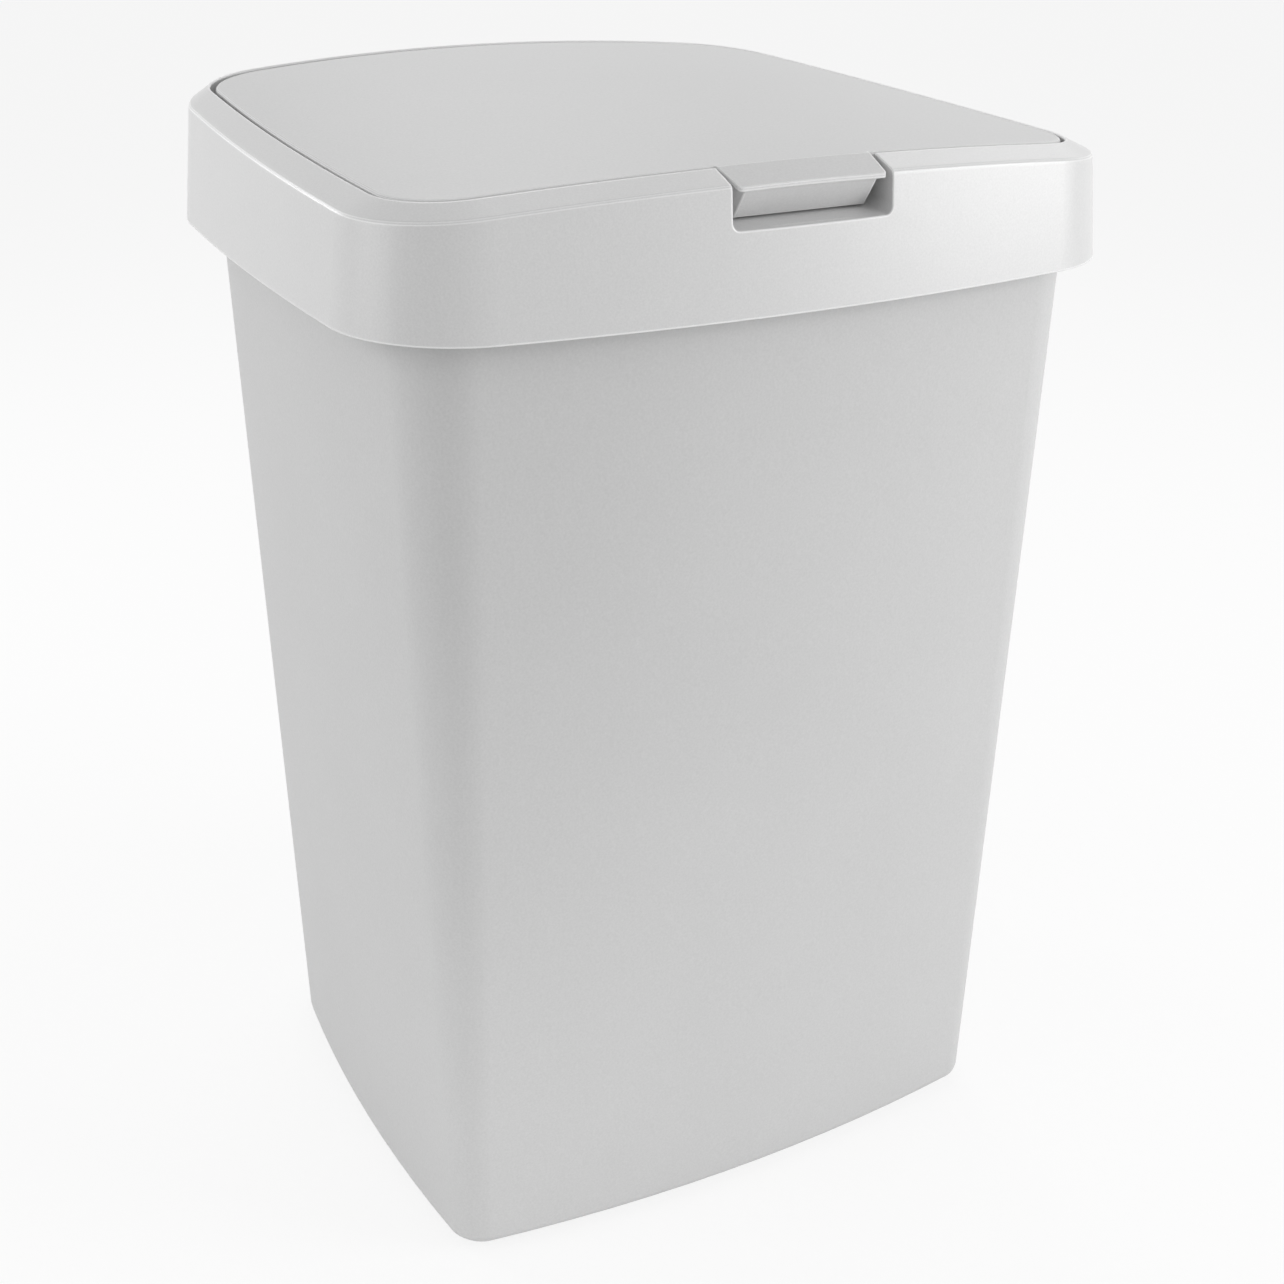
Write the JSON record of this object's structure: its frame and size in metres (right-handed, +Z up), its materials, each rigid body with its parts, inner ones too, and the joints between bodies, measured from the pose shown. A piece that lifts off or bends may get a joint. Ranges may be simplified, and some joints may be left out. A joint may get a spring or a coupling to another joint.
{
  "type": "kitchen waste bin",
  "caption": "Tapered plastic kitchen bin with a deep collar over its rim and an arched lid that lifts on a rear hinge by a front finger tab.",
  "frame": {"origin": "on the floor, under the middle of the bin's bounding box", "axes": "+Z up, -Y the front with the finger tab, +X the bin's left-to-right as seen from the front"},
  "size_m": [0.396, 0.359, 0.5566],
  "materials": {
    "body_plastic": "fine moulded texture, satin",
    "frame_plastic": "smooth satin",
    "lid_plastic": "fine moulded texture, satin",
    "pin_plastic": "smooth"
  },
  "bodies": {
    "bin": {"bin_body": "body_plastic"},
    "frame": {"lid_frame": "frame_plastic", "hinge_pin_left": "pin_plastic", "hinge_pin_right": "pin_plastic"},
    "lid": {"lid_flap": "lid_plastic"}
  },
  "joints": [
    {"name": "frame_lift", "type": "slide", "parent": "bin", "child": "frame", "axis": [0, 0, 1], "range_m": [0, 0.12]},
    {"name": "lid_hinge", "type": "hinge", "parent": "frame", "child": "lid", "pos_m": [0, 0.148, 0.54712], "axis": [-1, 0, 0], "range_deg": [0, 95]}
  ]
}
